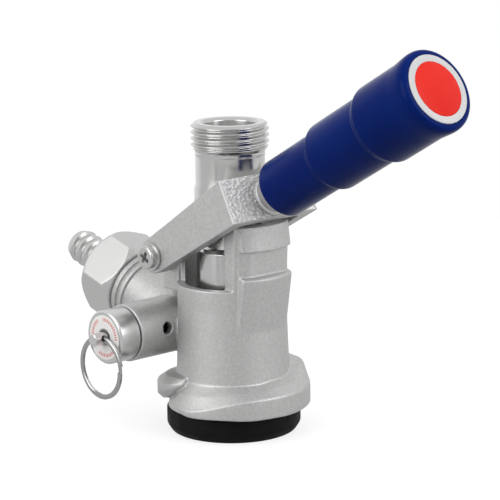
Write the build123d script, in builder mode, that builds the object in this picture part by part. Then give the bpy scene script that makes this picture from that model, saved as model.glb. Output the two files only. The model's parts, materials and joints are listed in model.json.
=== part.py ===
from build123d import *
import os
from math import asin, atan2, cos, hypot, radians, sin, sqrt

os.makedirs("parts", exist_ok=True)

# Lever-handle keg coupler. Millimetres, +Z up, origin at the centre of the seal's underside.
# +X points the way the handle does, -Y carries the relief valve, -X the gas inlet.

# Clearances
running_gap = 0.05
seat_gap = 0.02
side_gap = 0.3
over = 1.0

# Bottom seal, a moulded rubber ring pressed into the body's underside
seal_r = 19.94
seal_h = 7.1
seal_hole_r = 10.9
seal_foot_r = 18.5
seal_foot_h = 2.2
seal_rib_r = 13.6
seal_rib_wall = 2.0
seal_rib_h = 2.0

# Body casting: turned barrel
base_set_in = 0.34
skirt_r = 16.9
skirt_z = 16.9
hip_set_in = 0.48
hip_z = 27.0
waist_set_in = 0.75
waist_z = 38.0
sill_z = 44.7
pillar_top_z = 63.6

# Body casting: bores and windows
chamber_r = 12.6
chamber_top_z = 30.0
guide_top_z = 41.2
cavity_r = 13.7
front_half_w = 10.7
rear_half_w = 11.7
rear_face_x = -10.5
rear_web_half_w = 8.0

# Body casting: front pillar, turned to a ramp, a catch recess and a ledge
pillar_foot_z = 31.0
pad_foot = 2.3
pad_half_w = 9.6
pad_edge_r = 1.0
ledge_r = 18.4
ledge_z = 48.0
ledge_rise = 0.7
catch_depth = 2.5
catch_corner_r = 4.3
catch_root_set_in = 0.15
catch_top_z = 56.3
ramp_low_set_in = 0.35
ramp_top_set_in = 1.25

# Probe, the sliding tube that carries the drink
barrel_r = 10.25
barrel_low_z = 20.5
barrel_round = 0.9
probe_low_z = 2.0
probe_low_r = 7.6
probe_bore_r = 4.9
neck_r = 7.5
collar_r = 10.66
collar_z = 72.3
tube_r = 10.22
tube_z = 74.0
thread_r = 11.455
thread_low_z = 82.4
probe_top_z = 92.0
thread_chamfer = 0.9
mouth_r = 7.8
mouth_depth = 16.0
mouth_flare = 0.8

# Probe tip seal and the two sliding seals in the body
tip_seal_r = 9.4
tip_seal_z = 3.6
tip_seal_h = 4.6
tip_groove_r = 6.4
tip_seal_edge = 0.5
oring_section_r = 0.9
oring_lower_z = 33.6
oring_upper_z = 37.8
oring_groove_h = 2.2

# Lever yoke
pivot_x = -16.8
pivot_z = 51.9
arm_end_r = 5.2
arm_out_y = 16.5
arm_wall = 4.5
front_top = (13.7, 78.4)
front_low = (19.8, 66.4)
front_wall = 3.0
pocket_corner_r = 2.4
yoke_edge_r = 0.8
lug_x = -1.6
lug_z = 61.9
lug_r = 6.0
lug_play = 0.7
lug_face_gap = 0.45

# Hinge screws and washers
shoulder_r = 2.8
screw_thread_r = 2.0
screw_thread_len = 6.2
screw_head_r = 3.5
screw_head_h = 2.0
screw_head_round = 0.5
washer_r = 4.1
washer_h = 0.9
washer_gap = 0.1
recess_w = 1.0
recess_len = 4.2
recess_depth = 1.3
recess_turn = 20.0
pivot_boss_r = 4.7

# Handle: its axis leaves the middle of the yoke's front wall
handle_rise = 29.5
handle_drop = 0.5
tube_out_r = 5.3
tube_in_r = 4.0
tube_nose_len = 6.0
tube_len = 38.0
bush_len = 4.5
rod_r = 2.5
rod_in = 2.7
rod_collar_r = 3.7
rod_collar_s = 9.5
rod_collar_h = 2.4
spring_wall = 1.0
grip_s = 6.75
grip_lip_r = 7.6
grip_r1 = 8.72
grip_r2 = 10.16
grip_r3 = 11.55
grip_step1_s = 27.4
grip_step1_len = 3.2
grip_step2_s = 49.6
grip_step2_len = 3.5
grip_round_s = 67.0
grip_end_s = 74.7
grip_end_r = 10.2
grip_guide_len = 12.0
grip_relief_r = 6.4
grip_web_s = 47.5
grip_web_len = 6.0
grip_well_r = 6.6
cap_r = 9.95
cap_h = 1.8
cap_proud = 0.15
disc_r = 7.9
disc_h = 0.9
disc_proud = 0.25
grip_nut_flats = 8.0
grip_nut_h = 4.0
rod_end_len = 1.5

# Gas inlet: port axis rises away from the relief valve's axis
gas_x = -20.9
gas_z = 29.3
gas_rise = 17.5
port_r = 10.4
port_root_s = -12.0
port_root_r = 9.2
ring_low_s = 18.4
ring_low_r = 11.3
ring_groove_s = 20.0
ring_groove_w = 0.6
ring_groove_r = 10.8
ring_top_r = 11.8
nut_s = 22.6
nut_gap = 0.1
port_thread_r = 11.2
port_end_s = 30.0
port_bore_r = 6.5
port_bore_s = 20.0
gas_way_r = 3.2
gas_way_end_s = -14.0
gas_washer_h = 1.2
gas_washer_r = 10.7
gas_washer_hole_r = 5.0
tail_flange_r = 10.6
tail_flange_h = 2.4
tail_stem_r = 5.3
nut_wall = 2.9
nut_flats = 25.0
nut_turn = 8.0
nut_corner_chamfer_r = 12.4
nut_chamfer_h = 3.0
barb_start_s = 41.0
barb_end_s = 53.9
barb_count = 4
barb_lead = 0.25
barb_crest_r = 5.4
barb_root_r = 4.55
tail_bore_r = 3.0
check_flange_h = 1.5
check_body_r = 4.3
check_len = 7.0
check_bore_r = 2.4

# Relief valve, axis along -Y
boss_r = 8.6
boss_face_y = 24.4
relief_bore_r = 6.4
relief_seat_y = 11.6
relief_way_r = 2.6
vent_r = 1.75
vent_y = 14.6
vent_rise = 1.2
cap_len = 7.6
relief_cap_r = 8.04
relief_cap_edge = 0.5
cap_spigot_len = 5.4
cap_well_r = 5.0
cap_face_wall = 2.2
cap_eye_r = 2.4
cap_eye_depth = 1.3
label_r = 6.7
label_in_r = 2.7
label_h = 0.3
stem_r = 1.8
stem_out = 4.6
ring_hole_r = 1.2
ring_out = 1.4
poppet_r = 4.4
poppet_h = 1.0
poppet_seal_h = 1.0
relief_spring_wall = 0.9
gasket_h = 0.4
pull_ring_r = 9.35
pull_ring_wire = 1.1
pull_ring_coil_h = 0.85
pull_ring_notch = 0.2

# Places that follow from the driving dimensions
guide_r = barrel_r + running_gap
base_r = seal_r - base_set_in
catch_flat_x = ledge_r - catch_depth
groove_low_z = lug_z - lug_r - lug_play
groove_high_z = lug_z + lug_r + lug_play
arm_in_y = arm_out_y - arm_wall
washer_y = arm_out_y + washer_gap
head_y = washer_y + washer_h
handle_x = (front_top[0] + front_low[0]) / 2
handle_z = (front_top[1] + front_low[1]) / 2 - handle_drop
nut_end_s = port_end_s + gas_washer_h + tail_flange_h + nut_wall
cap_face_y = boss_face_y + cap_len
ring_y = cap_face_y + ring_out
seal_rib_out_r = seal_rib_r + seal_rib_wall

handle_cos = cos(radians(handle_rise))
handle_sin = sin(radians(handle_rise))
gas_cos = cos(radians(gas_rise))
gas_sin = sin(radians(gas_rise))
upright = Plane.XZ
handle_plane = Plane(origin=(handle_x, 0, handle_z), x_dir=(handle_cos, 0, handle_sin), z_dir=(0, -1, 0))
gas_plane = Plane(origin=(gas_x, 0, gas_z), x_dir=(-gas_cos, 0, gas_sin), z_dir=(0, -1, 0))
relief_plane = Plane(origin=(gas_x, 0, gas_z), x_dir=(0, -1, 0), z_dir=(1, 0, 0))


def save(piece, label):
    """Label a finished piece and write it to its own file."""
    piece.part.label = label
    export_step(piece.part, f"parts/{label}.step")


def turn(plane, outline, mode=Mode.ADD):
    """Revolve an outline of (distance along, radius) points about the plane's X axis."""
    with BuildSketch(plane) as profile:
        with BuildLine():
            Polyline(*outline, close=True)
        make_face()
    revolve(profile.sketch, axis=Axis(plane.origin, plane.x_dir), mode=mode)


def tube_wall(plane, start, end, inner, outer, mode=Mode.ADD):
    """Add a plain ring or, with an inner radius of 0, a plain rod."""
    turn(plane, ((start, inner), (end, inner), (end, outer), (start, outer)), mode)


def axis_plane(z=0.0, x=0.0):
    """A turning plane whose X axis is the vertical through (x, 0)."""
    return Plane(origin=(x, 0, z), x_dir=(0, 0, 1), z_dir=(0, 1, 0))


spindle = axis_plane()


def tangent_point(centre, radius, corner, side):
    """Where a line from the corner touches the circle, on the side given by +1 or -1."""
    dx = corner[0] - centre[0]
    dz = corner[1] - centre[1]
    reach = hypot(dx, dz)
    bearing = atan2(dz, dx) + side * (radians(90) - asin(radius / reach))
    return (centre[0] + radius * cos(bearing), centre[1] + radius * sin(bearing))


# Bayonet wings: each section is an angle, the reach past the skirt, the heights of the underside,
# the ridge and the top, the bulge between those two, and the cut on the lower edge
wing_front = (
    (-109, 1.7, 11.2, 12.4, 14.2, 0.1, 0.2),
    (-99, 3.9, 9.8, 11.3, 16.4, 0.1, 0.2),
    (-89, 5.1, 8.5, 10.4, 16.9, 0.1, 0.3),
    (-78, 5.6, 7.9, 10.3, 16.9, 0.1, 0.3),
    (-45, 5.9, 7.9, 13.0, 16.9, 0.1, 0.3),
    (-12, 5.9, 7.7, 14.1, 16.9, 0.1, 0.3),
    (18, 5.9, 7.6, 14.1, 17.2, 0.3, 0.3),
    (38, 6.0, 7.6, 14.3, 19.0, 0.8, 0.4),
    (52, 6.0, 7.9, 14.6, 21.2, 1.3, 0.6),
    (68, 5.6, 9.8, 15.2, 20.8, 1.2, 1.2),
    (82, 3.3, 13.4, 16.2, 18.6, 0.5, 0.8),
)
wing_rear = (
    (71, 1.7, 11.2, 12.4, 14.2, 0.1, 0.2),
    (81, 3.9, 9.8, 11.3, 16.4, 0.1, 0.2),
    (91, 5.1, 8.5, 10.4, 16.9, 0.1, 0.3),
    (102, 5.6, 7.9, 10.3, 16.9, 0.1, 0.3),
    (135, 5.9, 7.9, 13.0, 16.9, 0.1, 0.3),
    (168, 5.9, 7.7, 14.1, 16.9, 0.1, 0.3),
    (198, 5.9, 7.8, 14.4, 17.0, 0.3, 0.6),
    (220, 5.9, 8.6, 15.0, 17.4, 0.4, 1.3),
    (236, 5.5, 9.9, 15.2, 17.7, 0.5, 1.9),
    (250, 4.3, 12.2, 15.7, 17.9, 0.4, 1.4),
    (265, 1.7, 15.6, 16.8, 17.9, 0.1, 0.3),
)
wing_root_depth = 1.5
ridge_edge = 0.45


def wing(sections):
    """Loft one bayonet wing through its radial sections and add it to the body."""
    outlines = []
    for angle, beyond, under, ridge, top, bulge, cut in sections:
        out = (cos(radians(angle)), sin(radians(angle)), 0)
        side = (sin(radians(angle)), -cos(radians(angle)), 0)
        reach = skirt_r + beyond
        root_r = skirt_r - wing_root_depth
        root_top_r = skirt_r - side_gap
        shoulder = ((reach + root_top_r) / 2 + bulge, (ridge + top) / 2 + bulge)
        with BuildSketch(Plane(origin=(0, 0, 0), x_dir=out, z_dir=side)) as outline:
            with BuildLine():
                Polyline(
                    (root_r, under),
                    (reach - cut, under),
                    (reach, under + cut),
                    (reach, ridge - ridge_edge),
                    (reach - ridge_edge, ridge),
                    shoulder,
                    (root_top_r, top),
                    (root_r, top),
                    close=True,
                )
            make_face()
        outlines.append(outline.sketch.face())
    loft(outlines)


# Body casting
with BuildPart() as body:
    # front pad, its corners rounded in plan, then turned outside to a ramp and a ledge
    with BuildSketch(Plane.XY.offset(pillar_foot_z)) as pad_plan:
        Circle(ledge_r)
        Rectangle(ledge_r, 2 * pad_half_w, align=(Align.MIN, Align.CENTER), mode=Mode.INTERSECT)
        fillet(pad_plan.vertices().group_by(Axis.X)[-1], pad_edge_r)
    extrude(pad_plan.sketch, amount=pillar_top_z - pillar_foot_z)
    turned_away = (
        (pillar_foot_z, ledge_r - pad_foot),
        (ledge_z, ledge_r),
        (ledge_z + ledge_rise, ledge_r - ledge_rise),
        (catch_top_z, ledge_r - ledge_rise),
        (catch_top_z, ledge_r - ramp_low_set_in),
        (pillar_top_z, ledge_r - ramp_top_set_in),
        (pillar_top_z, ledge_r + over),
        (pillar_foot_z, ledge_r + over),
    )
    turn(spindle, turned_away, Mode.SUBTRACT)
    # turned barrel
    with BuildSketch(upright) as barrel:
        with BuildLine():
            waist = (skirt_r - waist_set_in, waist_z)
            Polyline((0, seal_h), (base_r, seal_h), (skirt_r, skirt_z))
            ThreePointArc((skirt_r, skirt_z), (skirt_r - hip_set_in, hip_z), waist)
            Polyline(waist, (skirt_r, pillar_top_z), (0, pillar_top_z), (0, seal_h))
        make_face()
    revolve(barrel.sketch, axis=Axis.Z)
    # catch recess across the pad, flat with rounded ends, above the ledge
    with BuildSketch(Plane.XY.offset(ledge_z + ledge_rise)) as catch_plan:
        Rectangle(ledge_r + over, 2 * pad_half_w, align=(Align.MIN, Align.CENTER))
        with Locations((catch_flat_x, 0)):
            kept_w = 2 * pad_half_w
            inward = (Align.MAX, Align.CENTER)
            RectangleRounded(kept_w, kept_w, catch_corner_r, align=inward, mode=Mode.SUBTRACT)
        Circle(skirt_r - catch_root_set_in, mode=Mode.SUBTRACT)
        with Locations((catch_flat_x, 0)):
            Rectangle(catch_depth + over, 2 * pad_half_w, align=(Align.MIN, Align.CENTER))
    extrude(catch_plan.sketch, amount=catch_top_z - ledge_z - ledge_rise, mode=Mode.SUBTRACT)
    wing(wing_front)
    wing(wing_rear)
    # rear pillar: a narrow web below, the hinge boss above
    with BuildSketch(upright) as web:
        with Locations((pivot_x - pivot_boss_r, guide_top_z - over)):
            Rectangle(rear_face_x - pivot_x + pivot_boss_r, pivot_z - guide_top_z + over, align=Align.MIN)
    extrude(web.sketch, amount=rear_web_half_w, both=True)
    with BuildSketch(upright) as hinge_boss:
        with Locations((pivot_x, pivot_z)):
            Circle(pivot_boss_r)
        with Locations((pivot_x, pivot_z)):
            Rectangle(rear_face_x - pivot_x, 2 * pivot_boss_r, align=(Align.MIN, Align.CENTER))
    extrude(hinge_boss.sketch, amount=rear_half_w, both=True)
    # gas port and relief boss
    port_outline = (
        (port_root_s, 0),
        (port_root_s, port_root_r),
        (ring_low_s, port_r),
        (ring_low_s, ring_low_r),
        (ring_groove_s, ring_low_r),
        (ring_groove_s, ring_groove_r),
        (ring_groove_s + ring_groove_w, ring_groove_r),
        (ring_groove_s + ring_groove_w, ring_top_r),
        (nut_s - nut_gap, ring_top_r),
        (nut_s - nut_gap, port_thread_r),
        (port_end_s, port_thread_r),
        (port_end_s, 0),
    )
    turn(gas_plane, port_outline)
    tube_wall(relief_plane, 0, boss_face_y, 0, boss_r)
    # probe bore, gas chamber and window cavity
    tube_wall(spindle, -over, chamber_top_z, 0, chamber_r, Mode.SUBTRACT)
    tube_wall(spindle, 0, pillar_top_z + over, 0, guide_r, Mode.SUBTRACT)
    for seal_z in (oring_lower_z, oring_upper_z):
        groove_r = guide_r + 2 * oring_section_r
        groove_plane = axis_plane(z=seal_z - oring_groove_h / 2)
        tube_wall(groove_plane, 0, oring_groove_h, 0, groove_r, Mode.SUBTRACT)
    tube_wall(spindle, guide_top_z, pillar_top_z + over, 0, cavity_r, Mode.SUBTRACT)
    rib_groove = (seal_rib_r - seat_gap, seal_rib_out_r + seat_gap)
    tube_wall(axis_plane(z=seal_h - over), 0, over + seal_rib_h + seat_gap, *rib_groove, Mode.SUBTRACT)
    # side windows, clear of the swinging arms
    window_h = pillar_top_z - sill_z + over
    forward = (Align.MIN, Align.CENTER, Align.MIN)
    backward = (Align.MAX, Align.CENTER, Align.MIN)
    for side in (-1, 1):
        with Locations((rear_face_x, side * (front_half_w + arm_out_y / 2), sill_z)):
            Box(2 * arm_out_y, arm_out_y, window_h, align=forward, mode=Mode.SUBTRACT)
        with Locations((rear_face_x, side * (rear_half_w + arm_out_y / 2), sill_z)):
            Box(2 * arm_out_y, arm_out_y, window_h, align=backward, mode=Mode.SUBTRACT)
    with Locations((0, 0, pivot_z + pivot_boss_r)):
        Box(2 * seal_r, 2 * seal_r, window_h, align=backward, mode=Mode.SUBTRACT)
    # hinge screw holes
    for side in (-1, 1):
        boss_face = Plane(origin=(pivot_x, side * rear_half_w, pivot_z), z_dir=(0, -side, 0))
        with BuildSketch(boss_face) as screw_hole:
            Circle(screw_thread_r + seat_gap)
        extrude(screw_hole.sketch, amount=screw_thread_len + side_gap, mode=Mode.SUBTRACT)
    # gas way and relief bores
    tube_wall(gas_plane, gas_way_end_s, port_end_s + over, 0, gas_way_r, Mode.SUBTRACT)
    tube_wall(gas_plane, port_bore_s, port_end_s + over, 0, port_bore_r, Mode.SUBTRACT)
    tube_wall(relief_plane, 0, relief_seat_y + over, 0, relief_way_r, Mode.SUBTRACT)
    tube_wall(relief_plane, relief_seat_y, boss_face_y + over, 0, relief_bore_r, Mode.SUBTRACT)
    with BuildSketch(Plane(origin=(gas_x, -vent_y, gas_z + vent_rise), z_dir=(1, 0, 0))) as vent:
        Circle(vent_r)
    extrude(vent.sketch, amount=boss_r + over, mode=Mode.SUBTRACT)
save(body, "body")

# Bottom seal
with BuildPart() as bottom_seal:
    seal_outline = (
        (0, seal_hole_r),
        (0, seal_foot_r),
        (seal_foot_h, seal_r),
        (seal_h, seal_r),
        (seal_h, seal_rib_out_r),
        (seal_h + seal_rib_h, seal_rib_out_r),
        (seal_h + seal_rib_h, seal_rib_r),
        (seal_h, seal_rib_r),
        (seal_h, seal_hole_r),
    )
    turn(spindle, seal_outline)
save(bottom_seal, "bottom_seal")

# Probe
with BuildPart() as probe:
    barrel_side = barrel_r - barrel_round
    probe_outline = (
        (probe_low_z, probe_bore_r),
        (probe_low_z, probe_low_r),
        (tip_seal_z, probe_low_r),
        (tip_seal_z, tip_groove_r),
        (tip_seal_z + tip_seal_h, tip_groove_r),
        (tip_seal_z + tip_seal_h, probe_low_r),
        (barrel_low_z, probe_low_r),
        (barrel_low_z, barrel_side),
        (barrel_low_z + barrel_round, barrel_r),
        (groove_low_z - barrel_round, barrel_r),
        (groove_low_z, barrel_side),
        (groove_low_z, neck_r),
        (groove_high_z, neck_r),
        (groove_high_z, collar_r),
        (collar_z, collar_r),
        (tube_z, tube_r),
        (thread_low_z, tube_r),
        (thread_low_z + thread_r - tube_r, thread_r),
        (probe_top_z - thread_chamfer, thread_r),
        (probe_top_z, thread_r - thread_chamfer),
        (probe_top_z, mouth_r + mouth_flare),
        (probe_top_z - mouth_flare, mouth_r),
        (probe_top_z - mouth_depth, mouth_r),
        (probe_top_z - mouth_depth - mouth_r + probe_bore_r, probe_bore_r),
    )
    turn(spindle, probe_outline)
save(probe, "probe")

# Probe tip seal
with BuildPart() as probe_seal:
    tip_h = tip_seal_h - 2 * seat_gap
    tube_wall(axis_plane(z=tip_seal_z + seat_gap), 0, tip_h, tip_groove_r + seat_gap, tip_seal_r)
    tip_rims = probe_seal.edges().filter_by(GeomType.CIRCLE).group_by(SortBy.RADIUS)[-1]
    chamfer(tip_rims, length=tip_seal_edge)
save(probe_seal, "probe_seal")

# Sliding seals in the body's guide bore
for seal_z, label in ((oring_lower_z, "probe_oring_lower"), (oring_upper_z, "probe_oring_upper")):
    with BuildPart() as oring:
        with BuildSketch(upright) as section:
            with Locations((barrel_r + running_gap + oring_section_r - seat_gap / 2, seal_z)):
                Circle(oring_section_r - seat_gap / 2)
        revolve(section.sketch, axis=Axis.Z)
    save(oring, label)

# Lever yoke: two arms and the front wall, cast as one
with BuildPart() as lever_yoke:
    pivot = (pivot_x, pivot_z)
    top_touch = tangent_point(pivot, arm_end_r, front_top, 1)
    low_touch = tangent_point(pivot, arm_end_r, front_low, -1)
    heel = (pivot_x - arm_end_r * handle_cos, pivot_z - arm_end_r * handle_sin)
    with BuildSketch(upright) as side_view:
        with BuildLine():
            Polyline(top_touch, front_top, front_low, low_touch)
            ThreePointArc(low_touch, heel, top_touch)
        make_face()
    extrude(side_view.sketch, amount=arm_out_y, both=True)
    wall_len = hypot(front_low[0] - front_top[0], front_low[1] - front_top[1])
    wall_down = ((front_low[0] - front_top[0]) / wall_len, (front_low[1] - front_top[1]) / wall_len)
    wall_plane = Plane(
        origin=(handle_x, 0, handle_z),
        x_dir=(0, 1, 0),
        z_dir=(wall_down[1], 0, -wall_down[0]),
    )
    pocket_plane = Plane(
        origin=wall_plane.origin + wall_plane.z_dir * front_wall,
        x_dir=wall_plane.z_dir,
        z_dir=(wall_down[0], 0, wall_down[1]),
    )
    with BuildSketch(pocket_plane) as pocket:
        RectangleRounded(4 * arm_out_y, 2 * arm_in_y, pocket_corner_r, align=(Align.MIN, Align.CENTER))
    extrude(pocket.sketch, amount=2 * arm_out_y, both=True, mode=Mode.SUBTRACT)
    wall_edges = lever_yoke.edges().filter_by(Axis((0, 0, 0), (wall_down[0], 0, wall_down[1])))
    fillet(wall_edges.group_by(Axis.X)[-1], yoke_edge_r)
    for side in (-1, 1):
        lug_face = Plane(origin=(lug_x, side * (neck_r + lug_face_gap), lug_z), z_dir=(0, side, 0))
        with BuildSketch(lug_face) as lug:
            Circle(lug_r)
        extrude(lug.sketch, amount=arm_in_y - neck_r - lug_face_gap + over)
    with BuildSketch(Plane(origin=(pivot_x, 0, pivot_z), z_dir=(0, -1, 0))) as hinge_bore:
        Circle(shoulder_r + running_gap)
    extrude(hinge_bore.sketch, amount=arm_out_y + over, both=True, mode=Mode.SUBTRACT)
    tube_wall(handle_plane, -front_wall * 2, front_wall * 2, 0, tube_out_r + seat_gap, Mode.SUBTRACT)
save(lever_yoke, "lever_yoke")

# Hinge screws and washers, one of each a side
for side, label in ((-1, "near"), (1, "far")):
    hinge_plane = Plane(origin=(pivot_x, 0, pivot_z), x_dir=(0, side, 0), z_dir=(1, 0, 0))
    with BuildPart() as hinge_screw:
        screw_outline = (
            (rear_half_w - screw_thread_len, 0),
            (rear_half_w - screw_thread_len, screw_thread_r),
            (rear_half_w, screw_thread_r),
            (rear_half_w, shoulder_r),
            (head_y, shoulder_r),
            (head_y, screw_head_r),
            (head_y + screw_head_h - screw_head_round, screw_head_r),
            (head_y + screw_head_h, screw_head_r - screw_head_round),
            (head_y + screw_head_h, 0),
        )
        turn(hinge_plane, screw_outline)
        head_face = Plane(origin=(pivot_x, side * (head_y + screw_head_h), pivot_z), z_dir=(0, -side, 0))
        with BuildSketch(head_face) as recess:
            Rectangle(recess_w, recess_len, rotation=recess_turn)
            Rectangle(recess_len, recess_w, rotation=recess_turn)
        extrude(recess.sketch, amount=recess_depth, mode=Mode.SUBTRACT)
    save(hinge_screw, f"hinge_screw_{label}")
    with BuildPart() as hinge_washer:
        tube_wall(hinge_plane, washer_y, head_y, shoulder_r + seat_gap, washer_r)
    save(hinge_washer, f"hinge_washer_{label}")

# Guide tube in the front wall, and the bush that closes it
with BuildPart() as guide_tube:
    guide_outline = (
        (-front_wall, rod_r + running_gap),
        (tube_nose_len, rod_r + running_gap),
        (tube_nose_len, tube_in_r),
        (tube_len, tube_in_r),
        (tube_len, tube_out_r),
        (-front_wall, tube_out_r),
    )
    turn(handle_plane, guide_outline)
save(guide_tube, "guide_tube")
with BuildPart() as guide_bush:
    tube_wall(handle_plane, tube_len - bush_len, tube_len, rod_r + running_gap, tube_in_r - seat_gap)
save(guide_bush, "guide_bush")

# Lock rod with its spring collar
rod_end_s = grip_web_s + grip_web_len + grip_nut_h + rod_end_len
with BuildPart() as lock_rod:
    rod_outline = (
        (-rod_in, 0),
        (-rod_in, rod_r - side_gap),
        (side_gap - rod_in, rod_r),
        (rod_collar_s, rod_r),
        (rod_collar_s, rod_collar_r),
        (rod_collar_s + rod_collar_h, rod_collar_r),
        (rod_collar_s + rod_collar_h, rod_r),
        (rod_end_s, rod_r),
        (rod_end_s, 0),
    )
    turn(handle_plane, rod_outline)
save(lock_rod, "lock_rod")
with BuildPart() as lock_spring:
    spring_in_r = rod_collar_r - spring_wall
    tube_wall(handle_plane, rod_collar_s + rod_collar_h, tube_len - bush_len, spring_in_r, rod_collar_r)
save(lock_spring, "lock_spring")

# Grip, nut and end cap
with BuildPart() as grip:
    with BuildSketch(handle_plane) as grip_profile:
        with BuildLine():
            Polyline(
                (grip_guide_len + grip_s, tube_out_r + running_gap),
                (grip_s, tube_out_r + running_gap),
                (grip_s, grip_lip_r),
            )
            lip = grip_r1 - grip_lip_r
            Polyline((grip_s, grip_lip_r), (grip_s + lip, grip_r1), (grip_step1_s, grip_r1))
            Spline(
                (grip_step1_s, grip_r1),
                (grip_step1_s + grip_step1_len, grip_r2),
                tangents=((1, 0), (1, 0)),
            )
            Line((grip_step1_s + grip_step1_len, grip_r2), (grip_step2_s, grip_r2))
            Spline(
                (grip_step2_s, grip_r2),
                (grip_step2_s + grip_step2_len, grip_r3),
                tangents=((1, 0), (1, 0)),
            )
            Line((grip_step2_s + grip_step2_len, grip_r3), (grip_round_s, grip_r3))
            Spline(
                (grip_round_s, grip_r3),
                (grip_end_s, grip_end_r),
                tangents=((1, 0), (0, -1)),
            )
            Polyline(
                (grip_end_s, grip_end_r),
                (grip_end_s, cap_r + seat_gap),
                (grip_end_s - cap_h, cap_r + seat_gap),
                (grip_end_s - cap_h, grip_well_r),
                (grip_web_s + grip_web_len, grip_well_r),
                (grip_web_s + grip_web_len, rod_r + seat_gap),
                (grip_web_s, rod_r + seat_gap),
                (grip_web_s, grip_relief_r),
                (grip_guide_len + grip_s, grip_relief_r),
                (grip_guide_len + grip_s, tube_out_r + running_gap),
            )
        make_face()
    revolve(grip_profile.sketch, axis=Axis(handle_plane.origin, handle_plane.x_dir))
save(grip, "grip")
with BuildPart() as grip_nut:
    nut_face = handle_plane.origin + handle_plane.x_dir * (grip_web_s + grip_web_len)
    with BuildSketch(Plane(origin=nut_face, x_dir=(0, 1, 0), z_dir=handle_plane.x_dir)) as nut_hex:
        RegularPolygon(grip_nut_flats / 2, side_count=6, major_radius=False)
        Circle(rod_r + seat_gap, mode=Mode.SUBTRACT)
    extrude(nut_hex.sketch, amount=grip_nut_h)
save(grip_nut, "grip_nut")
with BuildPart() as end_cap:
    cap_outline = (
        (grip_end_s - cap_h, 0),
        (grip_end_s - cap_h, cap_r),
        (grip_end_s, cap_r),
        (grip_end_s + cap_proud, cap_r - cap_proud),
        (grip_end_s + cap_proud, disc_r + seat_gap),
        (grip_end_s + cap_proud - disc_h, disc_r + seat_gap),
        (grip_end_s + cap_proud - disc_h, 0),
    )
    turn(handle_plane, cap_outline)
save(end_cap, "end_cap")
with BuildPart() as end_disc:
    disc_top_s = grip_end_s + disc_proud
    disc_outline = (
        (grip_end_s + cap_proud - disc_h, 0),
        (grip_end_s + cap_proud - disc_h, disc_r),
        (grip_end_s + cap_proud, disc_r),
        (disc_top_s, disc_r - side_gap),
        (disc_top_s, 0),
    )
    turn(handle_plane, disc_outline)
save(end_disc, "end_disc")

# Gas inlet: check valve, washer, tailpiece and nut
washer_s = port_end_s + gas_washer_h
flange_s = washer_s + tail_flange_h
with BuildPart() as gas_check_valve:
    check_outline = (
        (port_end_s - check_len, 0),
        (port_end_s - check_len, side_gap),
        (port_end_s - check_flange_h, check_body_r),
        (port_end_s - check_flange_h, port_bore_r - seat_gap),
        (port_end_s, port_bore_r - seat_gap),
        (port_end_s, check_bore_r),
        (port_end_s - check_flange_h, check_bore_r),
        (port_end_s - check_flange_h - check_bore_r, 0),
    )
    turn(gas_plane, check_outline)
save(gas_check_valve, "gas_check_valve")
with BuildPart() as gas_washer:
    tube_wall(gas_plane, port_end_s, washer_s, gas_washer_hole_r, gas_washer_r)
save(gas_washer, "gas_washer")
with BuildPart() as gas_tailpiece:
    with BuildSketch(gas_plane) as tail_profile:
        with BuildLine():
            barb_pitch = (barb_end_s - barb_start_s) / barb_count
            points = [
                (washer_s, tail_bore_r),
                (washer_s, tail_flange_r),
                (flange_s, tail_flange_r),
                (flange_s, tail_stem_r),
                (barb_start_s, tail_stem_r),
                (barb_start_s, barb_root_r),
            ]
            for barb in range(barb_count):
                crest_s = barb_start_s + (barb + barb_lead) * barb_pitch
                points.append((crest_s, barb_crest_r))
                points.append((barb_start_s + (barb + 1) * barb_pitch, barb_root_r))
            points.append((barb_end_s, tail_bore_r))
            Polyline(*points, close=True)
        make_face()
    revolve(tail_profile.sketch, axis=Axis(gas_plane.origin, gas_plane.x_dir))
save(gas_tailpiece, "gas_tailpiece")
with BuildPart() as gas_nut:
    nut_start = gas_plane.origin + gas_plane.x_dir * nut_s
    with BuildSketch(Plane(origin=nut_start, x_dir=(0, -1, 0), z_dir=gas_plane.x_dir)) as gas_hex:
        RegularPolygon(nut_flats / 2, side_count=6, major_radius=False, rotation=nut_turn)
    extrude(gas_hex.sketch, amount=nut_end_s - nut_s)
    corner_r = nut_flats / sqrt(3)
    chamfer_outline = (
        (nut_s, 0),
        (nut_s, nut_corner_chamfer_r),
        (nut_s + nut_chamfer_h, corner_r + side_gap),
        (nut_end_s - nut_chamfer_h, corner_r + side_gap),
        (nut_end_s, nut_corner_chamfer_r),
        (nut_end_s, 0),
    )
    turn(gas_plane, chamfer_outline, Mode.INTERSECT)
    tube_wall(gas_plane, nut_s - over, flange_s, 0, port_thread_r + seat_gap, Mode.SUBTRACT)
    tube_wall(gas_plane, flange_s - over, nut_end_s + over, 0, tail_stem_r + seat_gap, Mode.SUBTRACT)
save(gas_nut, "gas_nut")

# Relief valve: cap, gasket, label, spring, stem, seal and pull ring
with BuildPart() as relief_cap:
    cap_low_y = boss_face_y + gasket_h
    relief_outline = (
        (boss_face_y - cap_spigot_len, cap_well_r),
        (boss_face_y - cap_spigot_len, relief_bore_r - seat_gap),
        (cap_low_y, relief_bore_r - seat_gap),
        (cap_low_y, relief_cap_r),
        (cap_face_y - relief_cap_edge, relief_cap_r),
        (cap_face_y, relief_cap_r - relief_cap_edge),
        (cap_face_y, label_r + seat_gap),
        (cap_face_y - label_h, label_r + seat_gap),
        (cap_face_y - label_h, cap_eye_r),
        (cap_face_y - cap_eye_depth, cap_eye_r),
        (cap_face_y - cap_eye_depth, stem_r + running_gap),
        (cap_face_y - cap_face_wall, stem_r + running_gap),
        (cap_face_y - cap_face_wall, cap_well_r),
    )
    turn(relief_plane, relief_outline)
save(relief_cap, "relief_cap")
with BuildPart() as relief_gasket:
    tube_wall(relief_plane, boss_face_y, boss_face_y + gasket_h, relief_bore_r, relief_cap_r - side_gap)
save(relief_gasket, "relief_gasket")
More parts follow.
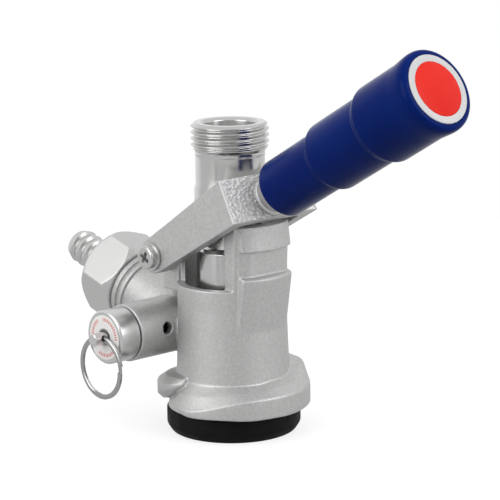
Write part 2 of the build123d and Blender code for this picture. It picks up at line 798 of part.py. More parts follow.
with BuildPart() as relief_label:
    tube_wall(relief_plane, cap_face_y - label_h, cap_face_y, label_in_r, label_r)
save(relief_label, "relief_label")
seal_top_y = relief_seat_y + poppet_seal_h
plate_top_y = seal_top_y + poppet_h
with BuildPart() as relief_stem:
    stem_end_y = cap_face_y + stem_out
    stem_outline = (
        (seal_top_y, 0),
        (seal_top_y, poppet_r),
        (plate_top_y, poppet_r),
        (plate_top_y, stem_r),
        (stem_end_y - side_gap, stem_r),
        (stem_end_y, stem_r - side_gap),
        (stem_end_y, 0),
    )
    turn(relief_plane, stem_outline)
    with BuildSketch(Plane(origin=(gas_x, -ring_y, gas_z), z_dir=(1, 0, 0))) as cross_hole:
        Circle(ring_hole_r)
    extrude(cross_hole.sketch, amount=stem_r + over, both=True, mode=Mode.SUBTRACT)
save(relief_stem, "relief_stem")
with BuildPart() as relief_poppet_seal:
    tube_wall(relief_plane, relief_seat_y, seal_top_y, 0, poppet_r)
save(relief_poppet_seal, "relief_poppet_seal")
with BuildPart() as relief_spring:
    relief_spring_in_r = stem_r + relief_spring_wall
    spring_out_r = relief_spring_in_r + relief_spring_wall
    tube_wall(relief_plane, plate_top_y, cap_face_y - cap_face_wall, relief_spring_in_r, spring_out_r)
save(relief_spring, "relief_spring")
with BuildPart() as pull_ring:
    ring_drop = pull_ring_r - pull_ring_wire / 2 - running_gap
    ring_plane = Plane(origin=(gas_x, 0, gas_z - ring_drop), x_dir=(0, -1, 0), z_dir=(1, 0, 0))
    ring_in_r = pull_ring_r - pull_ring_wire
    coil_outline = (
        (ring_y - pull_ring_coil_h, ring_in_r),
        (ring_y - pull_ring_notch / 2, ring_in_r),
        (ring_y, ring_in_r + pull_ring_notch),
        (ring_y + pull_ring_notch / 2, ring_in_r),
        (ring_y + pull_ring_coil_h, ring_in_r),
        (ring_y + pull_ring_coil_h, pull_ring_r),
        (ring_y + pull_ring_notch / 2, pull_ring_r),
        (ring_y, pull_ring_r - pull_ring_notch),
        (ring_y - pull_ring_notch / 2, pull_ring_r),
        (ring_y - pull_ring_coil_h, pull_ring_r),
    )
    turn(ring_plane, coil_outline)
save(pull_ring, "pull_ring")
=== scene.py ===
import bmesh
import bpy
import json
from math import atan2, cos, pi, radians, sin
from mathutils import Matrix, Vector, noise


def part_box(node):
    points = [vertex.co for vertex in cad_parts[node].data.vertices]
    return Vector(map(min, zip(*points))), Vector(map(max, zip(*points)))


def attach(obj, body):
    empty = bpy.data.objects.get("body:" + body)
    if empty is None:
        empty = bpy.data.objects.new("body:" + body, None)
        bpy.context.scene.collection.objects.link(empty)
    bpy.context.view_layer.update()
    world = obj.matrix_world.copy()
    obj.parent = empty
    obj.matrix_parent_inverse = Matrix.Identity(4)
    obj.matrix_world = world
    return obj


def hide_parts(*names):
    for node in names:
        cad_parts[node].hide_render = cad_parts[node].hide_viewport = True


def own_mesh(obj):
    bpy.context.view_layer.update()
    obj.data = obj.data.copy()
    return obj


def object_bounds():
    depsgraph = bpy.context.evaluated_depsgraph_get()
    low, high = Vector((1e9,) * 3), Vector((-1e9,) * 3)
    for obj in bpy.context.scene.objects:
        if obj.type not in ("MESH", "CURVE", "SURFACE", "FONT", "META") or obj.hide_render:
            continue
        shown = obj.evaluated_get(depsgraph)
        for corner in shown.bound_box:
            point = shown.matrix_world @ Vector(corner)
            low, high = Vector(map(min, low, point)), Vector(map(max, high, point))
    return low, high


MM = 0.001
WELD = 0.002 * MM
FULL_TURN = 2 * pi
LATHE_STEPS = 96
GRIP_STEPS = 128
UP = Vector((0, 0, 1))
SIDE = Vector((0, 1, 0))

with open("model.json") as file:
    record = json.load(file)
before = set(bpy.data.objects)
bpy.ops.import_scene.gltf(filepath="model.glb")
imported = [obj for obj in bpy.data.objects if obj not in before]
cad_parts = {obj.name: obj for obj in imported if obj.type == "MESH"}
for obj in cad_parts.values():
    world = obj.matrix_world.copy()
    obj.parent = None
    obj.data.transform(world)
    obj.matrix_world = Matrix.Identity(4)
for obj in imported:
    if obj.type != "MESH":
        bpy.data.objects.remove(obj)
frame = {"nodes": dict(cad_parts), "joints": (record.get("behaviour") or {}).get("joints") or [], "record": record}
cad_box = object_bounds()
nodes = frame["nodes"]
record = frame["record"]
joints = {joint["name"]: joint for joint in frame["joints"]}
mounts = {mount["name"]: mount for mount in record["mounts"]}
bodies = {node: body for body, members in record["behaviour"]["bodies"].items() for node in members}


def middle(node):
    """The centre of a node's box."""
    low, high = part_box(node)
    return (low + high) / 2


# The axes that the turned pieces share: a point, a direction and a direction across it
probe_axis = (Vector((0, 0, 0)), UP, Vector((1, 0, 0)))
pivot = Vector(joints["lever_pivot"]["pos_m"])
hinge_axis = (pivot, SIDE, UP)
handle_dir = Vector(joints["handle_pull"]["axis"]).normalized()
handle_axis = (middle("guide_tube"), handle_dir, SIDE.cross(handle_dir))
gas_dir = Vector(mounts["hose_tail"]["axis"]).normalized()
gas_axis = (Vector(mounts["hose_tail"]["pos_m"]), gas_dir, SIDE.cross(gas_dir))
relief_axis = (Vector(joints["ring_swing"]["pos_m"]), Vector(joints["relief_pull"]["axis"]), UP)


# ---------------------------------------------------------------- finishes

class Shading:
    """A node tree and short ways to add to it."""

    def __init__(self, tree):
        self.tree = tree

    def add(self, kind, **settings):
        """A new node of a kind, with its settings."""
        node = self.tree.nodes.new(kind)
        for key, value in settings.items():
            setattr(node, key, value)
        return node

    def link(self, source, target):
        """Join an output to an input."""
        self.tree.links.new(source, target)

    def math(self, operation, *values):
        """A sum on sockets or plain numbers."""
        node = self.add("ShaderNodeMath", operation=operation)
        for value, socket in zip(values, node.inputs):
            if isinstance(value, (int, float)):
                socket.default_value = value
            else:
                self.link(value, socket)
        return node.outputs[0]

    def dot(self, place, unit):
        """How far a place lies along a direction."""
        product = self.add("ShaderNodeVectorMath", operation="DOT_PRODUCT")
        self.link(place, product.inputs[0])
        product.inputs[1].default_value = unit
        return product.outputs["Value"]

    def span(self, value, start, end, low=0, high=1):
        """Map a value's range from start to end to the range from low to high."""
        ranged = self.add("ShaderNodeMapRange")
        for name, limit in (("From Min", start), ("From Max", end), ("To Min", low), ("To Max", high)):
            ranged.inputs[name].default_value = limit
        self.link(value, ranged.inputs["Value"])
        return ranged.outputs["Result"]

    def mix(self, share, first, second):
        """Mix two colours, each a socket or a plain colour, by a share."""
        blend = self.add("ShaderNodeMix", data_type="RGBA")
        self.link(share, blend.inputs["Factor"])
        for colour, socket in ((first, blend.inputs["A"]), (second, blend.inputs["B"])):
            if isinstance(colour, tuple):
                socket.default_value = (*colour, 1)
            else:
                self.link(colour, socket)
        return blend.outputs["Result"]


class Finish(Shading):
    """A material with one Principled shader and a few named ways to add detail."""

    noise_low = 0.3
    noise_high = 0.7

    def __init__(self, name, colour, metallic, roughness):
        self.material = bpy.data.materials.new(name)
        self.material.use_nodes = True
        super().__init__(self.material.node_tree)
        self.shader = self.tree.nodes["Principled BSDF"]
        self.shader.inputs["Base Color"].default_value = (*colour, 1)
        self.shader.inputs["Metallic"].default_value = metallic
        self.shader.inputs["Roughness"].default_value = roughness
        self.place = self.add("ShaderNodeTexCoord").outputs["Object"]
        self.height = None

    def noise(self, size, detail, rough=0.5):
        """Noise whose grains are about size across, in metres."""
        grain = self.add("ShaderNodeTexNoise")
        grain.inputs["Scale"].default_value = 1 / size
        grain.inputs["Detail"].default_value = detail
        grain.inputs["Roughness"].default_value = rough
        self.link(self.place, grain.inputs["Vector"])
        return grain.outputs["Fac"]

    def rough(self, value, low, high):
        """Vary the roughness between two limits with a noise."""
        spread = self.span(value, self.noise_low, self.noise_high, low, high)
        self.link(spread, self.shader.inputs["Roughness"])

    def colour(self, share, first, second):
        """Mix two colours by a share of 0 to 1."""
        self.link(self.mix(share, first, second), self.shader.inputs["Base Color"])

    def tint(self, value, first, second):
        """Mix two colours by a noise."""
        self.colour(self.span(value, self.noise_low, self.noise_high), first, second)

    def bump(self, value, depth):
        """Raise the surface by a value times a depth in metres."""
        raised = self.math("MULTIPLY", value, depth)
        self.height = self.math("ADD", self.height, raised) if self.height else raised

    def done(self):
        """Send the summed height to the shader and give the material."""
        relief = self.add("ShaderNodeBump")
        relief.inputs["Distance"].default_value = 1
        self.link(self.height, relief.inputs["Height"])
        self.link(relief.outputs["Normal"], self.shader.inputs["Normal"])
        return self.material


def round_axis(finish, axis):
    """The distance along an axis, the distance from it and the angle round it, as sockets of a finish."""
    point, direction, across = axis
    offset = finish.add("ShaderNodeVectorMath", operation="SUBTRACT")
    finish.link(finish.place, offset.inputs[0])
    offset.inputs[1].default_value = point
    along, right, deep = (finish.dot(offset.outputs["Vector"], unit)
                          for unit in (direction, across, direction.cross(across)))
    squares = finish.math("ADD", finish.math("MULTIPLY", right, right), finish.math("MULTIPLY", deep, deep))
    return along, finish.math("SQRT", squares), finish.math("ARCTAN2", right, deep)


def casting_finish(name, dark, light, metal, grain, grain_depth):
    """Bead-blasted stainless casting: fine mottling, faint hollows and an even, dull sheen."""
    sheen_size = 6 * MM
    mottle_size = 0.8 * MM
    hollow_size = 5 * MM
    hollow_depth = 0.03 * MM
    finish = Finish(name, light, metal, 0.5)
    finish.rough(finish.noise(sheen_size, 3), 0.46, 0.56)
    finish.tint(finish.noise(mottle_size, 3, rough=0.65), dark, light)
    finish.bump(finish.noise(hollow_size, 2), hollow_depth)
    finish.bump(finish.noise(grain, 2), grain_depth)
    return finish.done()


def turned_finish(name, axis, colour, low, high, depth=0.0016 * MM):
    """Lathe-turned steel: rings that run round one axis."""
    ring_size = 0.4 * MM
    cloud_size = 5 * MM
    shade = tuple(part * 0.96 for part in colour)
    finish = Finish(name, colour, 1, low)
    along, away, _ = round_axis(finish, axis)
    rings = finish.add("ShaderNodeTexNoise", noise_dimensions="1D")
    rings.inputs["Scale"].default_value = 1 / ring_size
    rings.inputs["Detail"].default_value = 1
    finish.link(finish.math("ADD", along, away), rings.inputs["W"])
    marks = rings.outputs["Fac"]
    both = finish.math("ADD", marks, finish.noise(cloud_size, 3))
    finish.rough(finish.math("MULTIPLY", both, 0.5), low, high)
    finish.tint(marks, shade, colour)
    finish.bump(marks, depth)
    return finish.done()


def plastic_finish(name, colour, shade, roughness, ior=1.45):
    """Moulded plastic with a trace of orange peel."""
    cloud_size = 14 * MM
    sheen_size = 7 * MM
    peel_size = 1.6 * MM
    peel_depth = 0.005 * MM
    finish = Finish(name, colour, 0, roughness)
    finish.shader.inputs["IOR"].default_value = ior
    finish.tint(finish.noise(cloud_size, 2), colour, shade)
    finish.rough(finish.noise(sheen_size, 3), roughness - 0.03, roughness + 0.04)
    finish.bump(finish.noise(peel_size, 2), peel_depth)
    return finish.done()


def rubber_finish():
    """Matte black moulded rubber."""
    black = (0.003, 0.003, 0.003)
    worn_black = (0.006, 0.006, 0.006)
    sheen_size = 3 * MM
    cloud_size = 5 * MM
    pore_size = 0.5 * MM
    pore_depth = 0.012 * MM
    finish = Finish("seal_rubber", worn_black, 0, 0.55)
    finish.shader.inputs["Specular IOR Level"].default_value = 0.12
    finish.rough(finish.noise(sheen_size, 4), 0.48, 0.66)
    finish.tint(finish.noise(cloud_size, 4), black, worn_black)
    finish.bump(finish.noise(pore_size, 3), pore_depth)
    return finish.done()


def label_finish():
    """White ring with plain red ticks in three arcs."""
    white = (0.9, 0.88, 0.87)
    red = (0.72, 0.16, 0.14)
    ticks_round = 46
    arcs_round = 3
    tick_gap = 0.45
    arc_gap = 0.2
    ticks_inner_r = 4.9 * MM
    ticks_outer_r = 5.9 * MM
    peel_size = 1.2 * MM
    peel_depth = 0.004 * MM
    finish = Finish("label_plastic", white, 0, 0.3)
    _, away, angle = round_axis(finish, relief_axis)
    turns = finish.math("ADD", finish.math("DIVIDE", angle, FULL_TURN), 0.5)
    marks = finish.math("MULTIPLY", finish.math("LESS_THAN", away, ticks_outer_r),
                        finish.math("GREATER_THAN", away, ticks_inner_r))
    for count, gap in ((ticks_round, tick_gap), (arcs_round, arc_gap)):
        share = finish.math("FRACT", finish.math("MULTIPLY", turns, count))
        marks = finish.math("MULTIPLY", marks, finish.math("GREATER_THAN", share, gap))
    finish.colour(marks, white, red)
    finish.bump(finish.noise(peel_size, 2), peel_depth)
    return finish.done()


CAST_DARK, CAST_LIGHT = (0.49, 0.49, 0.485), (0.6, 0.6, 0.595)
GRAIN_DARK, GRAIN_LIGHT = (0.7, 0.7, 0.69), (0.85, 0.85, 0.84)
STEEL = (0.6, 0.6, 0.595)
CAP_STEEL = (0.66, 0.66, 0.655)
NUT_STEEL = (0.62, 0.62, 0.615)
WIRE_STEEL = (0.42, 0.42, 0.42)
BLUE, BLUE_SHADE = (0.001, 0.012, 0.12), (0.0015, 0.016, 0.145)
WHITE, WHITE_SHADE = (0.66, 0.66, 0.665), (0.62, 0.62, 0.625)
RED, RED_SHADE = (0.76, 0.022, 0.014), (0.8, 0.028, 0.018)
WASHER_WHITE, WASHER_SHADE = (0.7, 0.7, 0.68), (0.64, 0.64, 0.62)

cast_smooth = casting_finish("casting", CAST_DARK, CAST_LIGHT, metal=0.82, grain=0.5 * MM,
                             grain_depth=0.012 * MM)
cast_grain = casting_finish("casting_grained", GRAIN_DARK, GRAIN_LIGHT, metal=0.5, grain=0.8 * MM,
                            grain_depth=0.2 * MM)
turned_probe = turned_finish("turned_steel_probe", probe_axis, STEEL, 0.17, 0.25)
turned_gas = turned_finish("turned_steel_gas", gas_axis, STEEL, 0.26, 0.36)
turned_relief = turned_finish("turned_steel_relief", relief_axis, CAP_STEEL, 0.27, 0.35)
turned_handle = turned_finish("turned_steel_handle", handle_axis, STEEL, 0.22, 0.32)
turned_hinge = turned_finish("turned_steel_hinge", hinge_axis, STEEL, 0.2, 0.3)
nut_steel = turned_finish("nut_steel", gas_axis, NUT_STEEL, 0.46, 0.54, depth=0.001 * MM)
wire_steel = turned_finish("spring_steel", relief_axis, WIRE_STEEL, 0.16, 0.24)
grip_blue = plastic_finish("grip_plastic", BLUE, BLUE_SHADE, 0.2, ior=1.13)
end_white = plastic_finish("white_plastic", WHITE, WHITE_SHADE, 0.25)
end_red = plastic_finish("red_plastic", RED, RED_SHADE, 0.3, ior=1.2)
washer_white = plastic_finish("washer_plastic", WASHER_WHITE, WASHER_SHADE, 0.4)
rubber = rubber_finish()
label_white = label_finish()


# ---------------------------------------------------------------- shaping

def add_object(name, data):
    """An object in the scene that holds a mesh, a lamp or a camera."""
    holder = bpy.data.objects.new(name, data)
    bpy.context.scene.collection.objects.link(holder)
    return holder


def as_mesh(name, bm):
    """Turn a bmesh into a mesh, and free it."""
    mesh = bpy.data.meshes.new(name)
    bm.to_mesh(mesh)
    bm.free()
    return mesh


def closed_piece(name, bm, material, crease):
    """A piece from a bmesh: merged, facing outwards, and smooth except where it turns past the crease."""
    bmesh.ops.remove_doubles(bm, verts=bm.verts, dist=WELD)
    bmesh.ops.recalc_face_normals(bm, faces=bm.faces)
    mesh = as_mesh(name, bm)
    mesh.shade_smooth()
    mesh.set_sharp_from_angle(angle=radians(crease))
    mesh.materials.append(material)
    return add_object(name, mesh)


def settle(name, bm, node, material, crease=35):
    """Make a finished bmesh the piece that stands for a CAD node."""
    piece = closed_piece(name, bm, material, crease)
    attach(piece, bodies[node])
    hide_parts(node)
    return piece


def whole(bm):
    """Everything in a bmesh, as its operators take it."""
    return bm.verts[:] + bm.edges[:] + bm.faces[:]


def node_mesh(node):
    """A merged copy of a CAD node's mesh."""
    bm = bmesh.new()
    bm.from_mesh(nodes[node].data)
    bmesh.ops.remove_doubles(bm, verts=bm.verts, dist=WELD)
    return bm


def wire(places, closed=False):
    """A line through some places."""
    bm = bmesh.new()
    verts = [bm.verts.new(place) for place in places]
    ends = verts[1:] + verts[:1] if closed else verts[1:]
    for first, second in zip(verts, ends):
        bm.edges.new((first, second))
    return bm


def bend(vert):
    """How far a wire turns at a vertex."""
    if len(vert.link_edges) != 2:
        return pi
    first, second = (edge.other_vert(vert).co - vert.co for edge in vert.link_edges)
    return pi - first.angle(second, 0)


def outline_of(node, axis):
    """The outline that a half plane from the axis cuts from a turned node, as wire."""
    point, direction, across = axis
    bm = node_mesh(node)
    cut = bmesh.ops.bisect_plane(bm, geom=whole(bm), dist=WELD, plane_co=point,
                                 plane_no=direction.cross(across))
    kept = {part for part in cut["geom_cut"] if isinstance(part, bmesh.types.BMEdge)}
    bmesh.ops.delete(bm, geom=bm.faces[:], context="FACES_ONLY")
    bmesh.ops.delete(bm, geom=[edge for edge in bm.edges if edge not in kept], context="EDGES")
    bmesh.ops.bisect_plane(bm, geom=whole(bm), dist=WELD, plane_co=point, plane_no=across, clear_inner=True)
    bmesh.ops.remove_doubles(bm, verts=bm.verts, dist=WELD)
    on_axis = [edge for edge in bm.edges
               if all(abs((vert.co - point).dot(across)) < WELD for vert in edge.verts)]
    bmesh.ops.delete(bm, geom=on_axis, context="EDGES")
    straight = [vert for vert in bm.verts if bend(vert) < radians(1)]
    bmesh.ops.dissolve_verts(bm, verts=straight)
    return bm


def round_corners(bm, radius):
    """Round the corners of an outline."""
    sharp = radians(25)
    corners = [vert for vert in bm.verts if len(vert.link_edges) == 2 and bend(vert) > sharp]
    bmesh.ops.bevel(bm, geom=corners, offset=radius, affect="VERTICES", segments=3, profile=0.5, material=-1)


def spin(bm, axis, steps):
    """Turn an outline into a closed lathe shape."""
    point, direction, _ = axis
    bmesh.ops.spin(bm, geom=whole(bm), cent=point, axis=direction, angle=FULL_TURN, steps=steps,
                   use_merge=True)


def wind(bm, centre, direction, turns, steps, travel):
    """Wind a section of wire into a coil, and close its two ends."""
    bmesh.ops.spin(bm, geom=whole(bm), cent=centre, axis=direction, angle=turns * FULL_TURN, steps=steps,
                   dvec=direction * (travel / steps))
    bmesh.ops.holes_fill(bm, edges=[edge for edge in bm.edges if edge.is_boundary], sides=0)


def turned_piece(name, node, axis, material, radius, steps=LATHE_STEPS):
    """A turned CAD node again, finely divided and with its edges broken by a radius in millimetres."""
    bm = outline_of(node, axis)
    round_corners(bm, radius * MM)
    spin(bm, axis, steps)
    return settle(name, bm, node, material)


def evaluated(source, name, **modifiers):
    """A mesh once it has been through some modifiers, on a helper that is then removed."""
    helper = add_object(name + "_source", source)
    for kind, settings in modifiers.items():
        modifier = helper.modifiers.new(kind, kind)
        for key, value in settings.items():
            setattr(modifier, key, value)
    mesh = bpy.data.meshes.new_from_object(helper.evaluated_get(bpy.context.evaluated_depsgraph_get()))
    bpy.data.objects.remove(helper)
    return mesh


def cast_piece(name, node, material, voxel, passes, kept=1.0, worn=None):
    """A CAD node with the soft edges and blends of a casting. Where worn says so, it is softer still."""
    worn_passes = 40
    skin = evaluated(as_mesh(name + "_source", node_mesh(node)), name,
                     REMESH={"mode": "VOXEL", "voxel_size": voxel * MM},
                     SMOOTH={"factor": 0.5, "iterations": passes})
    bm = bmesh.new()
    bm.from_mesh(skin)
    if worn:
        soft = [vert for vert in bm.verts if worn(vert.co)]
        for _ in range(worn_passes):
            bmesh.ops.smooth_vert(bm, verts=soft, factor=0.5,
                                  use_axis_x=True, use_axis_y=True, use_axis_z=True)
    if kept < 1:
        bm.to_mesh(skin)
        thinned = evaluated(skin, name, DECIMATE={"ratio": kept})
        bm.clear()
        bm.from_mesh(thinned)
    return settle(name, bm, node, material, crease=60)


def roughen(piece, direction, depth, grain):
    """Cast grain on the faces of a piece that look one way."""
    facing_share = 0.93
    piece.data.materials.append(cast_grain)
    bm = bmesh.new()
    bm.from_mesh(piece.data)
    facing = [face for face in bm.faces if face.normal.dot(direction) > facing_share]
    for face in facing:
        face.material_index = 1
    for vert in {vert for face in facing for vert in face.verts}:
        if all(face.material_index == 1 for face in vert.link_faces):
            vert.co += direction * (noise.noise(vert.co / grain) * depth)
    bm.to_mesh(piece.data)
    bm.free()


# ---------------------------------------------------------------- pieces

def wing_corner(place):
    """Whether a place is on the outer corner of the front wing's far end."""
    at_wing_end = radians(22) < atan2(place.y, place.x) < radians(75)
    past_skirt = Vector((place.x, place.y)).length > 18.2 * MM
    at_wing_height = 9 * MM < place.z < 25 * MM
    return at_wing_end and past_skirt and at_wing_height


def thread_probe():
    """The probe with its outlet thread cut in the turned end."""
    outlet = mounts["outlet_thread"]
    crest_r = outlet["dims"]["r_mm"] * MM
    thread_low = outlet["pos_m"][2] - outlet["dims"]["length_mm"] * MM / 2
    tube_r = 10.25 * MM
    pitch = 1.814 * MM
    depth = 1.0 * MM
    run_out = 1.5 * MM
    margin = 0.3 * MM
    slice_h = 0.085 * MM
    crest_share = 0.14
    flank_share = 0.7
    edge_round = 0.15 * MM
    thread_steps = 144
    bm = outline_of("probe", probe_axis)
    round_corners(bm, edge_round)
    rise = [edge for edge in bm.edges if min(vert.co.z for vert in edge.verts) > thread_low - margin
            and min(vert.co.x for vert in edge.verts) > crest_r - depth - margin]
    for edge in rise:
        cuts = int(edge.calc_length() / slice_h)
        if cuts:
            bmesh.ops.subdivide_edges(bm, edges=[edge], cuts=cuts)
    spin(bm, probe_axis, thread_steps)
    for vert in bm.verts:
        away = Vector((vert.co.x, vert.co.y)).length
        if vert.co.z < thread_low - margin or away < tube_r:
            continue
        phase = (vert.co.z / pitch - atan2(vert.co.y, vert.co.x) / FULL_TURN) % 1
        dip = min(max((abs(2 * phase - 1) - crest_share) / flank_share, 0), 1)
        foot = min(max((vert.co.z - thread_low) / run_out, 0), 1)
        reach = min(crest_r - depth * dip, tube_r + (crest_r - tube_r) * foot)
        if away > reach:
            vert.co.x *= reach / away
            vert.co.y *= reach / away
    settle("probe_threaded", bm, "probe", turned_probe, crease=50)


def hinge_screw(name, node, side):
    """A pan-head shoulder screw with a cross recess. The crown's drops below the face are in millimetres."""
    low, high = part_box(node)
    direction = SIDE * side
    point = Vector((pivot.x, high.y if side > 0 else low.y, pivot.z))
    head_r = (high.x - low.x) / 2
    head_h = 2.0 * MM
    shank_r = 2.8 * MM
    shank_end = (high.y - low.y) * 0.97
    crown = ((0.6, 1), (0.28, 0.97), (0.08, 0.9), (0, 0.8))
    recess_share = 0.62
    outline = [(-shank_end, 0), (-shank_end, shank_r), (-head_h, shank_r), (-head_h, head_r)]
    outline += [(-drop * MM, head_r * share) for drop, share in crown] + [(0, 0)]
    bm = wire([point + direction * s + UP * r for s, r in outline])
    spin(bm, (point, direction, UP), 64)
    piece = settle(name, bm, node, turned_hinge)
    cross_recess(piece, point, direction, head_r * recess_share)


def cross_recess(piece, point, direction, reach):
    """Cut a cross recess into a screw head with two tapered bars."""
    recess_depth = 2.0 * MM
    clear = 0.3 * MM
    bar_w = 1.2 * MM
    tip_share = 0.4
    bm = bmesh.new()
    for turn in (radians(28), radians(118)):
        bar = bmesh.ops.create_cube(bm, size=1)["verts"]
        for vert in bar:
            inward = vert.co.y * direction.y < 0
            pinch = tip_share if inward else 1
            level = (-recess_depth if inward else clear) * direction.y
            vert.co = Vector((vert.co.x * 2 * reach * pinch, level, vert.co.z * bar_w * (pinch + 1) / 2))
        bmesh.ops.rotate(bm, verts=bar, cent=(0, 0, 0), matrix=Matrix.Rotation(turn, 3, "Y"))
        bmesh.ops.translate(bm, verts=bar, vec=point)
    cutter = add_object("recess", as_mesh("recess", bm))
    piece.data = evaluated(piece.data, "recess", BOOLEAN={"operation": "DIFFERENCE", "solver": "EXACT",
                                                          "use_self": True, "object": cutter})
    bpy.data.objects.remove(cutter)
    piece.data.shade_smooth()
    piece.data.set_sharp_from_angle(angle=radians(35))


def split_ring():
    """The relief valve's split ring: two turns of flattened wire."""
    low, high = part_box("pull_ring")
    centre = middle("pull_ring")
    coil_h = (high.y - low.y) / 2
    outer = (high.x - low.x) / 2 + 0.25 * MM
    half_wide = 0.75 * MM
    half_thick = 0.42 * coil_h
    bm = bmesh.new()
    bmesh.ops.create_circle(bm, cap_ends=False, segments=14, radius=1)
    bmesh.ops.transform(bm, matrix=Matrix.Diagonal((half_wide, half_thick, 1, 1)), verts=bm.verts)
    bmesh.ops.translate(bm, verts=bm.verts, vec=centre + Vector((outer - half_wide, -coil_h / 2, 0)))
    wind(bm, centre, SIDE, turns=1.97, steps=150, travel=coil_h)
    settle("split_ring", bm, "pull_ring", wire_steel)


def coil_spring(name, node, axis, turns, wire_r):
    """A compression spring in the room of its CAD sleeve."""
    point, direction, across = axis
    sleeve = [vert.co - point for vert in nodes[node].data.vertices]
    reach = [offset.dot(direction) for offset in sleeve]
    start, end = min(reach), max(reach)
    outer = max((offset - direction * offset.dot(direction)).length for offset in sleeve)
    bm = bmesh.new()
    bmesh.ops.create_circle(bm, cap_ends=False, segments=10, radius=wire_r)
    stand = Matrix((across, direction, across.cross(direction))).transposed().to_4x4()
    bmesh.ops.transform(bm, matrix=stand, verts=bm.verts)
    seat = point + direction * (start + wire_r) + across * (outer - wire_r)
    bmesh.ops.translate(bm, verts=bm.verts, vec=seat)
    wind(bm, point, direction, turns, steps=turns * 20, travel=end - start - 2 * wire_r)
    coil = settle(name, bm, node, wire_steel)
    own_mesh(coil)


def wall_fillet():
    """The cast fillet where the guide tube leaves the yoke's front wall."""
    reach = 0.5 * MM
    sink = 0.2 * MM
    arc_steps = 6
    point, direction, across = handle_axis
    tube_r = max((vert.co - point).cross(direction).length for vert in nodes["guide_tube"].data.vertices)
    wall = max(vert.co.dot(direction) for vert in nodes["lever_yoke"].data.vertices)
    profile = [(wall - sink, tube_r - sink), (wall - sink, tube_r + reach)]
    for step in range(arc_steps + 1):
        turn = pi / 2 * step / arc_steps
        profile.append((wall + reach * (1 - cos(turn)), tube_r + reach * (1 - sin(turn))))
    profile.append((wall + reach, tube_r - sink))
    foot = point - direction * point.dot(direction)
    bm = wire([foot + direction * s + across * r for s, r in profile], closed=True)
    spin(bm, handle_axis, LATHE_STEPS)
    piece = closed_piece("tube_wall_fillet", bm, cast_grain, crease=180)
    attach(piece, bodies["guide_tube"])


def grip_body():
    """The stepped plastic grip, with its near lip drawn up to the yoke."""
    lip = 2.0 * MM
    drawn = 1.3 * MM
    step_round = 0.6 * MM
    bm = outline_of("grip", handle_axis)
    start = min(vert.co.dot(handle_dir) for vert in bm.verts)
    for vert in bm.verts:
        if vert.co.dot(handle_dir) < start + lip:
            vert.co -= handle_dir * drawn
    round_corners(bm, step_round)
    spin(bm, handle_axis, GRIP_STEPS)
    settle("grip_body", bm, "grip", grip_blue)


def build():
    """Every piece that takes a CAD node's place. Voxels and radii are in millimetres."""
    cast_piece("body_casting", "body", cast_smooth, voxel=0.26, passes=2, kept=0.26, worn=wing_corner)
    yoke = cast_piece("yoke_casting", "lever_yoke", cast_smooth, voxel=0.25, passes=3)
    roughen(yoke, handle_dir, depth=0.5 * MM, grain=0.7 * MM)
    cast_piece("gas_nut_hex", "gas_nut", nut_steel, voxel=0.26, passes=3, kept=0.3)
    thread_probe()
    turned_piece("seal_ring", "bottom_seal", probe_axis, rubber, radius=0.5)
    turned_piece("tip_seal", "probe_seal", probe_axis, rubber, radius=0.2)
    grip_body()
    turned_piece("grip_end_ring", "end_cap", handle_axis, end_white, radius=0.08, steps=GRIP_STEPS)
    turned_piece("grip_end_disc", "end_disc", handle_axis, end_red, radius=0.08, steps=GRIP_STEPS)
    turned_piece("handle_guide_tube", "guide_tube", handle_axis, cast_smooth, radius=0.1)
    wall_fillet()
    turned_piece("handle_lock_rod", "lock_rod", handle_axis, turned_handle, radius=0.1)
    turned_piece("gas_tail", "gas_tailpiece", gas_axis, turned_gas, radius=0.08)
    turned_piece("gas_flat_washer", "gas_washer", gas_axis, washer_white, radius=0.1)
    turned_piece("relief_cap_turned", "relief_cap", relief_axis, turned_relief, radius=0.12)
    turned_piece("relief_label_ring", "relief_label", relief_axis, label_white, radius=0.04)
    for side, end in ((-1, "near"), (1, "far")):
        hinge_screw(f"pivot_screw_{end}", f"hinge_screw_{end}", side)
        turned_piece(f"pivot_washer_{end}", f"hinge_washer_{end}", hinge_axis, turned_hinge, radius=0.15)
    split_ring()
    coil_spring("lock_coil", "lock_spring", handle_axis, turns=9, wire_r=0.42 * MM)
    coil_spring("relief_coil", "relief_spring", relief_axis, turns=8, wire_r=0.4 * MM)


def finish_left_over():
    """Give every CAD node that still shows its material."""
    finishes = {
        "probe_oring_lower": rubber,
        "probe_oring_upper": rubber,
        "guide_bush": turned_handle,
        "grip_nut": turned_handle,
        "gas_check_valve": rubber,
        "relief_gasket": rubber,
        "relief_stem": turned_relief,
        "relief_poppet_seal": rubber,
    }
    for node, material in finishes.items():
        mesh = nodes[node].data
        mesh.materials.clear()
        mesh.materials.append(material)


# ---------------------------------------------------------------- studio

# Where the camera stands round the coupler, and the tent round both: a share of a turn and a brightness
AZIMUTH = radians(47.46)
TENT = (
    (0.0, 1.0), (0.14, 1.0), (0.2, 0.65), (0.3, 0.6), (0.355, 0.8), (0.366, 0.05), (0.38, 0.55), (0.45, 0.45),
    (0.5, 0.35), (0.53, 0.12), (0.585, 0.15), (0.62, 0.6), (0.7, 0.75), (0.78, 1.0), (0.88, 0.75), (1.0, 1.0),
)


def shown(shading, level, mirrored):
    """How much of a plain backdrop a ray sees: one level straight on, another in a reflection."""
    seen = shading.add("ShaderNodeLightPath").outputs
    straight = shading.math("ADD", seen["Is Camera Ray"], seen["Is Transmission Ray"])
    return shading.math("ADD", shading.math("MULTIPLY", straight, level),
                        shading.math("MULTIPLY", seen["Is Glossy Ray"], mirrored))


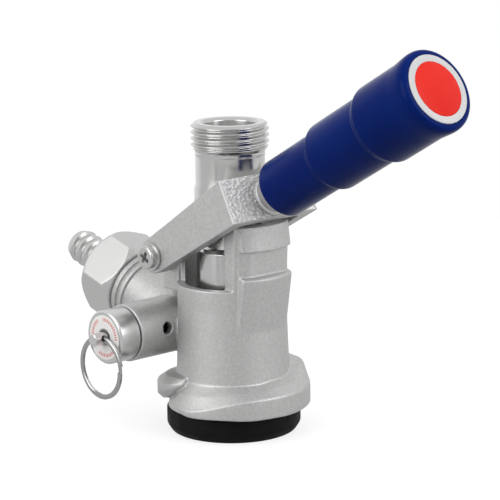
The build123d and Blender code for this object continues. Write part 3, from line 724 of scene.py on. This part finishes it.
def tent_light(shading):
    """The tent's brightness in each direction: cards round the sides that give way to an even dome."""
    dome_start = 0.35
    dome_full = 0.8
    dome_white = (0.85, 0.85, 0.85)
    place = shading.add("ShaderNodeTexCoord").outputs["Generated"]
    right = shading.dot(place, (cos(AZIMUTH), sin(AZIMUTH), 0))
    front = shading.dot(place, (sin(AZIMUTH), -cos(AZIMUTH), 0))
    cards = shading.add("ShaderNodeValToRGB")
    shading.link(shading.span(shading.math("ARCTAN2", right, front), -pi, pi), cards.inputs["Fac"])
    stops = cards.color_ramp.elements
    stops[0].position, stops[1].position = TENT[0][0], TENT[-1][0]
    for stop, (_, level) in zip(stops, (TENT[0], TENT[-1])):
        stop.color = (level, level, level, 1)
    for position, level in TENT[1:-1]:
        stops.new(position).color = (level, level, level, 1)
    rise = shading.span(shading.dot(place, UP), dome_start, dome_full)
    return shading.mix(rise, cards.outputs["Color"], dome_white)


def studio():
    """White tent light with darker cards on the camera's side, two weak soft boxes and a floor."""
    world = bpy.data.worlds.new("tent")
    bpy.context.scene.world = world
    world.use_nodes = True
    shading = Shading(world.node_tree)
    shading.tree.nodes.clear()
    lit = shading.add("ShaderNodeBackground")
    shading.link(tent_light(shading), lit.inputs["Color"])
    plain = shading.add("ShaderNodeBackground")
    plain.inputs["Color"].default_value = (1, 1, 1, 1)
    both = shading.add("ShaderNodeMixShader")
    shading.link(shown(shading, 1, mirrored=0.2), both.inputs["Fac"])
    shading.link(lit.outputs[0], both.inputs[1])
    shading.link(plain.outputs[0], both.inputs[2])
    shading.link(both.outputs[0], shading.add("ShaderNodeOutputWorld").inputs["Surface"])
    soft_box("key", place=(-0.1, -0.8, 0.45), size=0.7, power=3.6)
    soft_box("fill", place=(0.75, 0.15, 0.5), size=0.6, power=3.0)
    floor()


def soft_box(name, place, size, power):
    """A square area light that looks at the coupler."""
    aim = UP * 0.06
    lamp = bpy.data.lights.new(name, "AREA")
    lamp.size = size
    lamp.energy = power
    holder = add_object(name, lamp)
    holder.location = place
    holder.rotation_euler = (aim - Vector(place)).to_track_quat("-Z", "Y").to_euler()


def floor():
    """A pale floor that reads white and keeps a soft shadow."""
    half_wide = 0.3
    bm = bmesh.new()
    bmesh.ops.create_grid(bm, x_segments=1, y_segments=1, size=half_wide)
    bmesh.ops.translate(bm, verts=bm.verts, vec=(0, 0, cad_box[0][2]))
    plane = add_object("floor", as_mesh("floor", bm))
    material = bpy.data.materials.new("floor")
    material.use_nodes = True
    shading = Shading(material.node_tree)
    shading.tree.nodes.clear()
    diffuse = shading.add("ShaderNodeBsdfDiffuse")
    diffuse.inputs["Color"].default_value = (0.3, 0.3, 0.3, 1)
    glow = shading.add("ShaderNodeEmission")
    shading.link(shown(shading, 0.75, mirrored=0.36), glow.inputs["Strength"])
    both = shading.add("ShaderNodeAddShader")
    shading.link(diffuse.outputs[0], both.inputs[0])
    shading.link(glow.outputs[0], both.inputs[1])
    shading.link(both.outputs[0], shading.add("ShaderNodeOutputMaterial").inputs["Surface"])
    plane.data.materials.append(material)


def camera():
    """The camera, by where it stands round the coupler."""
    elevation = radians(11.77)
    roll = radians(-0.761)
    distance = 637.4 * MM
    shift_right = 5.446 * MM
    look_z = 53.698 * MM
    back = Vector((sin(AZIMUTH) * cos(elevation), -cos(AZIMUTH) * cos(elevation), sin(elevation)))
    right = Vector((cos(AZIMUTH), sin(AZIMUTH), 0))
    up = back.cross(right)
    lens = bpy.data.cameras.new("camera")
    lens.sensor_width = 36
    lens.lens = 155.88
    lens.clip_start = 0.01
    holder = add_object("camera", lens)
    rolled_right = right * cos(roll) + up * sin(roll)
    rolled_up = up * cos(roll) - right * sin(roll)
    axes = Matrix((rolled_right, rolled_up, back)).transposed().to_4x4()
    holder.matrix_world = Matrix.Translation(right * shift_right + UP * look_z + back * distance) @ axes
    bpy.context.scene.camera = holder


build()
finish_left_over()
studio()
camera()
bpy.context.scene.view_settings.view_transform = "Standard"
